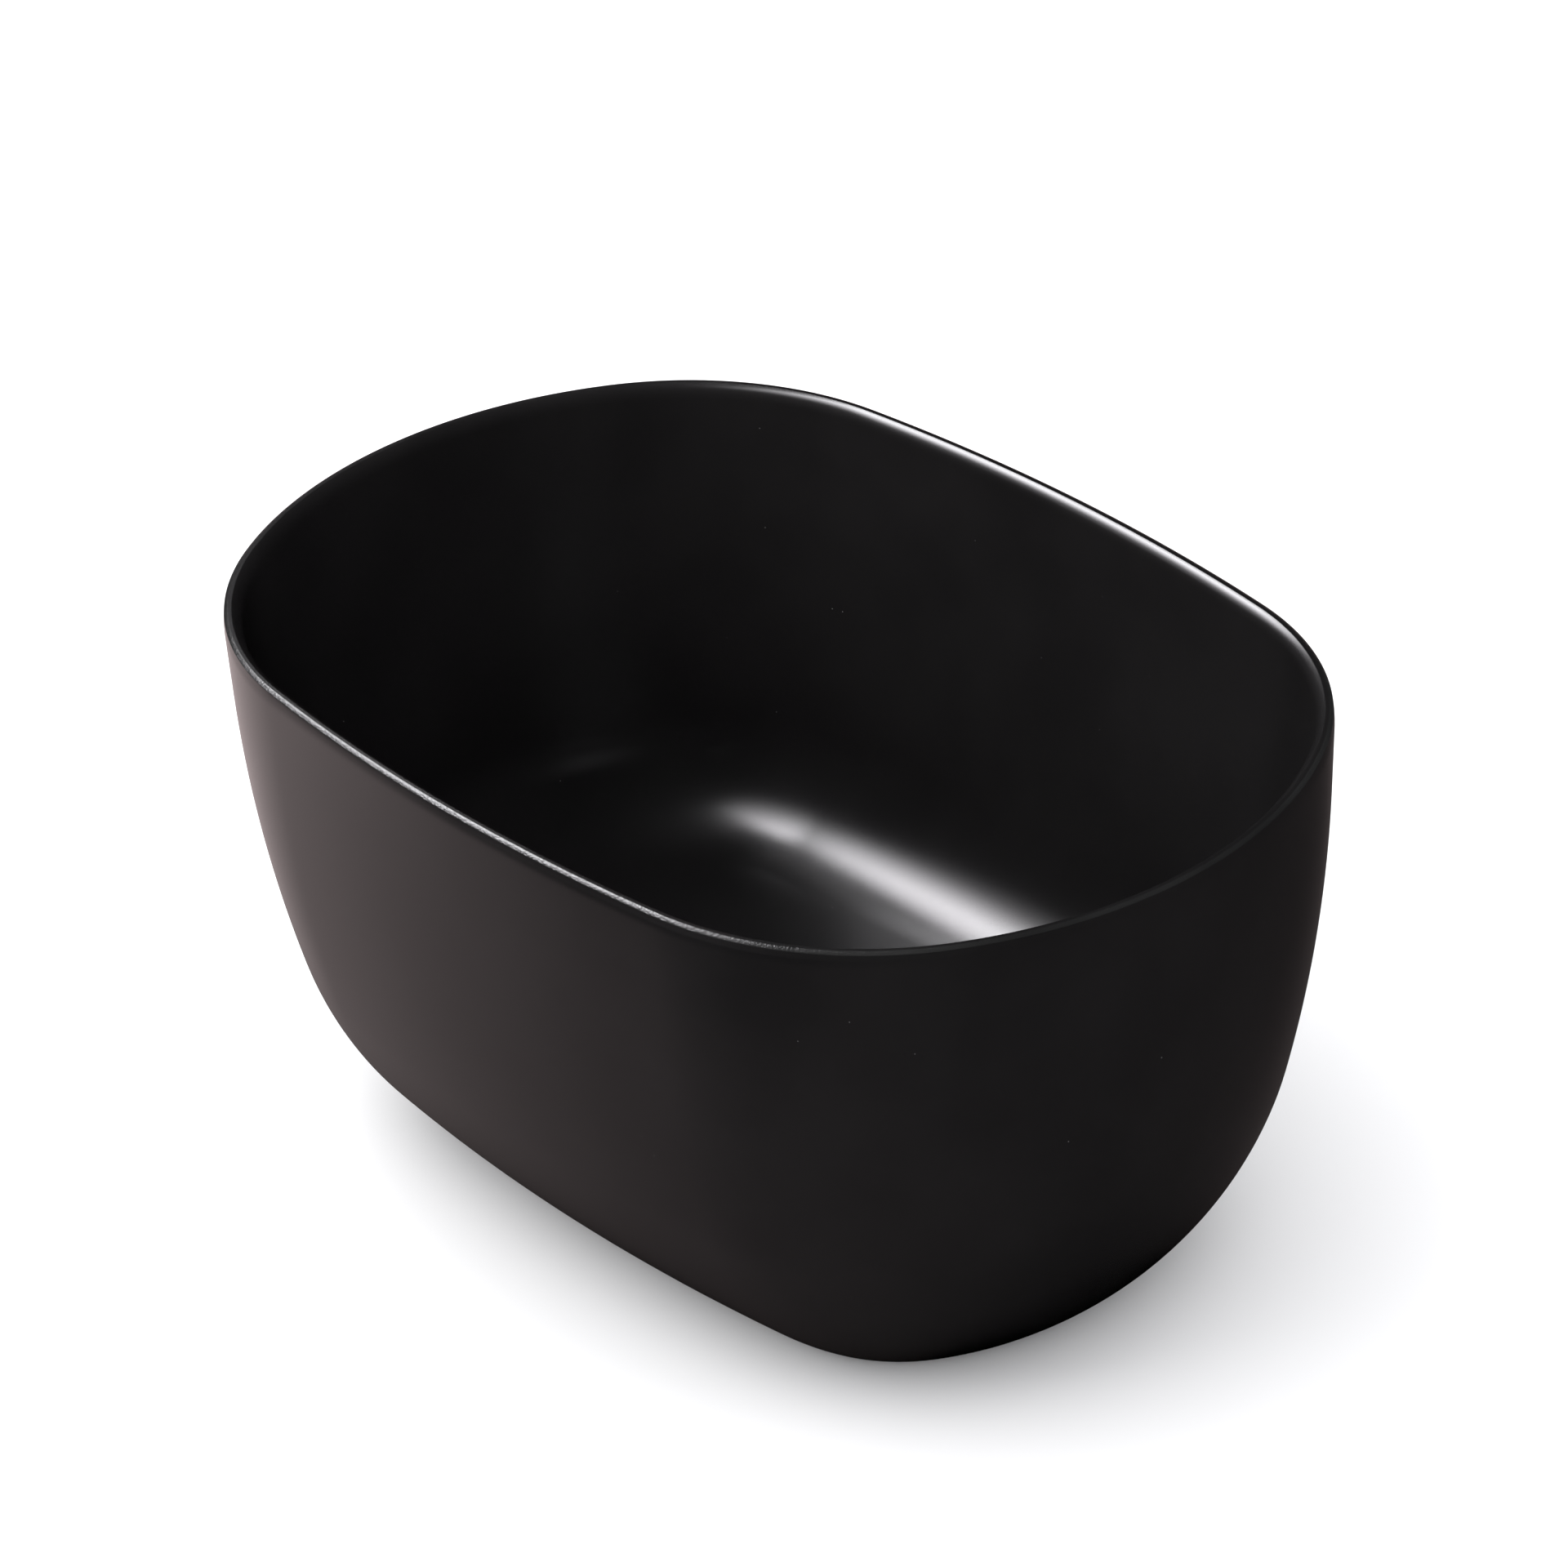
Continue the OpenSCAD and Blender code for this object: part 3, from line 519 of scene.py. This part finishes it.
def make_inner_well():
    """Smooth well and rim with the drain and overflow openings, in place of the CAD well."""
    profile, flat_z = well_profile()
    rings = [[(x, y, z) for x, y in oval(inset)] for inset, z in profile]
    recess_z = flat_z - RECESS_DEPTH
    boss_z = recess_z - WELL_THICKNESS
    under_z = flat_z - WELL_THICKNESS
    drain = [(DRAIN_RADIUS, boss_z), (DRAIN_RADIUS, recess_z), (SEAT_RADIUS, recess_z),
             (RECESS_RADIUS, flat_z)]
    boss = [(BOSS_FOOT_RADIUS, under_z), (BOSS_RADIUS, boss_z)]
    centre_rings = [[(x, y, z) for x, y in circle_like_oval(r)] for r, z in drain]
    boss_rings = [[(x, y, z) for x, y in circle_like_oval(r)] for r, z in boss]
    mesh = loft("inner_well_shell", centre_rings + rings + boss_rings, closed=True)
    face_outward(mesh)
    piece = add_object("inner_well_shell", mesh)
    cut_overflow_hole(piece)
    shade_smooth(piece.data)
    paint(piece, "black_shell")
    piece.data.materials.append(GROUND_EDGE)
    grind_rim_edge(piece.data)
    stand_for(piece, "inner_well", "tub")


def grind_rim_edge(mesh):
    """The rim's outer slope gets the second material, which is ground and so sparkles."""
    for face in mesh.polygons:
        outward = face.normal.x * face.center.x + face.normal.y * face.center.y > 0
        if outward and face.center.z > RIM_Z - RIM_EDGE_DEPTH:
            face.material_index = 1


def wall_place():
    """Frame of the overflow on the near inside wall, with +Z into the well."""
    low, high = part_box("overflow_cover")
    centre = (low + high) / 2
    into_well = Matrix.Rotation(WALL_DRAFT - math.pi / 2, 4, "X")
    wall_z = centre.z - math.sin(WALL_DRAFT) * COVER_REACH
    inset = RIM_WIDTH + (RIM_Z - RIM_DROP - wall_z) * math.tan(WALL_DRAFT)
    return Matrix.Translation((0, -(HALF_WIDTH - inset), wall_z)) @ into_well


def cut_overflow_hole(piece):
    """Round hole through the near inside wall, behind the overflow's cover."""
    cutter_mesh = bpy.data.meshes.new("overflow_cutter")
    work = bmesh.new()
    bmesh.ops.create_cone(work, cap_ends=True, segments=OVERFLOW_SEGMENTS, radius1=OVERFLOW_RADIUS,
                          radius2=OVERFLOW_RADIUS, depth=OVERFLOW_CUT, matrix=wall_place())
    work.to_mesh(cutter_mesh)
    work.free()
    cutter = add_object("overflow_cutter", cutter_mesh)
    cut = piece.modifiers.new("overflow_hole", "BOOLEAN")
    cut.operation = "DIFFERENCE"
    cut.solver = "EXACT"
    cut.object = cutter
    bpy.context.view_layer.update()
    graph = bpy.context.evaluated_depsgraph_get()
    result = bpy.data.meshes.new_from_object(piece.evaluated_get(graph))
    piece.modifiers.clear()
    piece.data = result
    bpy.data.objects.remove(cutter)


# ---- Studio ----
FLOOR_HALF_SIZE = 30.0
FLOOR_CARD_SIZE = 8.0
FLOOR_CARD_Z = 0.0005  # just over the floor
FLOOR_CARD_TINT = (1.13, 0.945, 0.945)
GLOW_LEFT = 0.66  # what the far left of the floor card has more than its far right
GLOW_RIGHT = 0.085
DIM_HALF_LENGTH = 0.80  # of the dim oval on the floor card, round the tub
DIM_HALF_WIDTH = 0.38
KEY_CARD_TINT = (1.0, 0.985, 1.02)
KEY_CARD_SIZE = (3.4, 3.2)
KEY_CARD_AIM_Z = 0.3
KEY_CARD_DISTANCE = 2.6
KEY_CARD_TILT_LEFT = math.radians(-35)
KEY_CARD_TILT_FRONT = math.radians(15)
KEY_CARD_SPIN = math.radians(-16)
WORLD_STRENGTH = 1.5


def make_floor():
    """Wide pale floor under the tub."""
    mesh = bpy.data.meshes.new("studio_floor")
    size = FLOOR_HALF_SIZE
    mesh.from_pydata([(-size, -size, 0), (size, -size, 0), (size, size, 0), (-size, size, 0)],
                     [], [(0, 1, 2, 3)])
    floor = add_object("studio_floor", mesh)
    m = Nodes("pale_floor")
    pale = m.mix(m.noise(0.8), (0.87, 0.87, 0.87), (0.89, 0.89, 0.89))
    m.link(pale, m.shader.inputs["Base Color"])
    m.set(Roughness=0.9)
    m.shader.inputs["Specular IOR Level"].default_value = 0.1
    mesh.materials.append(m.material)
    floor.visible_glossy = False


def card(name, place, width, length):
    """Flat glowing card that only reflections see; its material uses metres along its own X and Y."""
    x, y = width / 2, length / 2
    mesh = bpy.data.meshes.new(name)
    mesh.from_pydata([(-x, -y, 0), (x, -y, 0), (x, y, 0), (-x, y, 0)], [], [(0, 1, 2, 3)])
    made = add_object(name, mesh)
    made.matrix_world = place
    made.visible_camera = False
    made.visible_diffuse = False
    made.visible_shadow = False
    made.visible_transmission = False
    return made


def glow(made, colour, strength_of):
    """The card shines with a strength worked out from its own X and Y."""
    m = Nodes(made.name + "_glow")
    split = m.add("ShaderNodeSeparateXYZ")
    m.link(m.place(), split.inputs[0])
    light = m.add("ShaderNodeEmission", Color=(*colour, 1))
    m.link(strength_of(m, split.outputs["X"], split.outputs["Y"]), light.inputs["Strength"])
    m.tree.nodes.remove(m.shader)
    m.link(light.outputs[0], m.tree.nodes["Material Output"].inputs["Surface"])
    made.data.materials.append(m.material)


def make_floor_card():
    """The floor as the outside reflects it: bright to the left, dim near the tub and far in front."""
    place = Matrix.Translation((0, 0, FLOOR_CARD_Z))
    made = card("floor_card", place, FLOOR_CARD_SIZE, FLOOR_CARD_SIZE)

    def strength(m, x, y):
        # Open floor, brighter to the left
        rise = m.math("POWER", m.ramp(x, 1.0, 0.0, -1.1, 0.5), 1.9)
        open_floor = m.math("ADD", m.math("MULTIPLY", rise, GLOW_LEFT), GLOW_RIGHT)
        # None right under the tub, and full light outside the dim oval
        along = m.math("POWER", m.math("DIVIDE", x, DIM_HALF_LENGTH), 2.0)
        across = m.math("POWER", m.math("DIVIDE", y, DIM_HALF_WIDTH), 2.0)
        away = m.math("SQRT", m.math("ADD", along, across), 0.0)
        under = m.ramp(away, 0.0, 1.0, 0.62, 1.1)
        # No light from far in front, and less from the right and the back
        far_front = m.ramp(y, 0.0, 1.0, -1.25, -0.92)
        right = m.ramp(m.math("ADD", x, m.math("MULTIPLY", y, 0.5)), 1.0, 0.4, 0.3, 0.9)
        near_tub = m.math("MULTIPLY", open_floor, under)
        return m.math("MULTIPLY", near_tub, m.math("MULTIPLY", far_front, right))

    glow(made, FLOOR_CARD_TINT, strength)


def make_key_card():
    """Long softbox above the far left: a crisp edge towards the back, a slow fade towards the front."""
    place = (Matrix.Translation((0, 0, KEY_CARD_AIM_Z))
             @ Matrix.Rotation(KEY_CARD_TILT_LEFT, 4, "Y")
             @ Matrix.Rotation(KEY_CARD_TILT_FRONT, 4, "X")
             @ Matrix.Translation((0, 0, KEY_CARD_DISTANCE))
             @ Matrix.Rotation(KEY_CARD_SPIN, 4, "Z"))
    made = card("key_card", place, *KEY_CARD_SIZE)

    def strength(m, x, y):
        # Crisp back edge, slanted, and more so where x is negative
        bend = m.math("MULTIPLY", m.math("MINIMUM", x, 0.0), 0.9)
        slant = m.math("ADD", bend, m.math("MULTIPLY", x, 0.28))
        back = m.ramp(m.math("ADD", y, slant), 1.0, 0.0, 0.50, 0.66)
        # Fades towards the front and towards both ends
        front = m.math("POWER", m.ramp(y, 0.0, 1.0, -0.75, 0.36), 1.8)
        start = m.ramp(x, 1.0, 0.0, 0.1, 1.5)
        end = m.ramp(x, 0.0, 1.0, -1.05, -0.75)
        # Faint wide part, only where x is under -0.25
        wide = m.math("MULTIPLY", m.ramp(x, 0.3, 0.0, -0.5, -0.25), m.ramp(y, 0.0, 1.0, -1.5, 0.0))
        shape = m.math("ADD", m.math("MULTIPLY", front, start), wide)
        edged = m.math("MULTIPLY", m.math("MULTIPLY", shape, back), end)
        # Brightest from x -0.30 to -0.24, and weaker to both sides
        rising = m.ramp(x, 11.5, 32.0, -0.45, -0.30)
        falling = m.ramp(x, 32.0, 22.0, -0.24, 0.08)
        return m.math("MULTIPLY", edged, m.math("MINIMUM", rising, falling))

    glow(made, KEY_CARD_TINT, strength)


def make_world():
    """Even pale surroundings that light the scene but aren't seen in reflections."""
    world = bpy.data.worlds.new("studio")
    bpy.context.scene.world = world
    world.use_nodes = True
    background = world.node_tree.nodes["Background"]
    background.inputs["Color"].default_value = (0.98, 0.98, 1.0, 1)
    background.inputs["Strength"].default_value = WORLD_STRENGTH
    world.cycles_visibility.glossy = False


def make_area(name, direction, distance, size, power, colour=(1.0, 1.0, 1.0)):
    """Square lamp at a distance from the tub's middle, facing it, seen by no camera or reflection."""
    light = bpy.data.lights.new(name, "AREA")
    light.shape = "SQUARE"
    light.size = size
    light.energy = power
    light.color = colour
    lamp = bpy.data.objects.new(name, light)
    bpy.context.scene.collection.objects.link(lamp)
    away = Vector(direction).normalized()
    lamp.location = Vector((0, 0, RIM_Z / 2)) + away * distance
    lamp.rotation_mode = "QUATERNION"
    lamp.rotation_quaternion = away.to_track_quat("Z", "Y")
    lamp.visible_camera = False
    lamp.visible_glossy = False
    return lamp


def shine_only_on(lamp, pieces):
    """The lamp lights these pieces and nothing else."""
    group = bpy.data.collections.new(lamp.name + "_receivers")
    for piece in pieces:
        group.objects.link(piece)
    lamp.light_linking.receiver_collection = group


def make_trim_light(side, direction, trim):
    """Softbox that only the trim and hardware see, also in their reflections."""
    box = make_area("trim_light_" + side, direction, distance=2.8, size=2.6, power=60.0)
    box.visible_glossy = True
    shine_only_on(box, trim)


def make_lights():
    """A big soft key, a fill for the far inside wall, and boxes for the trim and hardware."""
    make_area("key_light", (-0.42, -0.42, 0.80), distance=3.6, size=5.0, power=125.0,
              colour=(1.0, 0.995, 0.99))
    fill = make_area("wall_fill", (-0.3, -0.82, 0.48), distance=3.2, size=1.6, power=95.0,
                     colour=(1.0, 0.99, 0.97))
    shine_only_on(fill, [bpy.data.objects["inner_well_shell"]])
    trim = [frame["nodes"][part["node"]] for part in frame["record"]["subparts"]
            if part["material_slot"] != "black_shell"]
    make_trim_light("left", (-0.8, -0.3, 0.8), trim)
    make_trim_light("right", (0.7, -0.4, 0.8), trim)
    make_trim_light("back", (0.1, 0.9, 0.6), trim)


# ---- Camera, as in the photo ----
CAMERA_AZIMUTH = math.radians(50.02)
CAMERA_ELEVATION = math.radians(31.63)
CAMERA_ROLL = math.radians(-3.04)
CAMERA_DISTANCE = 7.5393
CAMERA_LENS = 171.52
CAMERA_SENSOR = 36.0
CAMERA_AIM = (0.0014, 0.1204)  # to the right and up from the tub's middle


def make_camera():
    """Long lens from above the +X, -Y corner, tilted a little, aimed above the tub's middle."""
    data = bpy.data.cameras.new("camera")
    data.lens = CAMERA_LENS
    data.sensor_width = CAMERA_SENSOR
    data.clip_start, data.clip_end = 0.1, 100.0
    camera = bpy.data.objects.new("camera", data)
    bpy.context.scene.collection.objects.link(camera)
    forward = Vector((-math.sin(CAMERA_AZIMUTH) * math.cos(CAMERA_ELEVATION),
                      math.cos(CAMERA_AZIMUTH) * math.cos(CAMERA_ELEVATION),
                      -math.sin(CAMERA_ELEVATION)))
    right = forward.cross(Vector((0, 0, 1))).normalized()
    up = right.cross(forward)
    tilted_right = right * math.cos(CAMERA_ROLL) + up * math.sin(CAMERA_ROLL)
    tilted_up = up * math.cos(CAMERA_ROLL) - right * math.sin(CAMERA_ROLL)
    aim = Vector((0, 0, RIM_Z / 2)) + tilted_right * CAMERA_AIM[0] + tilted_up * CAMERA_AIM[1]
    turn_to = Matrix((tilted_right, tilted_up, -forward)).transposed()
    camera.matrix_world = Matrix.Translation(aim - forward * CAMERA_DISTANCE) @ turn_to.to_4x4()
    bpy.context.scene.camera = camera


paint_cad_nodes()
make_outer_skin()
make_inner_well()
make_floor()
make_floor_card()
make_key_card()
make_world()
make_lights()
make_camera()
bpy.context.scene.view_settings.view_transform = "Standard"
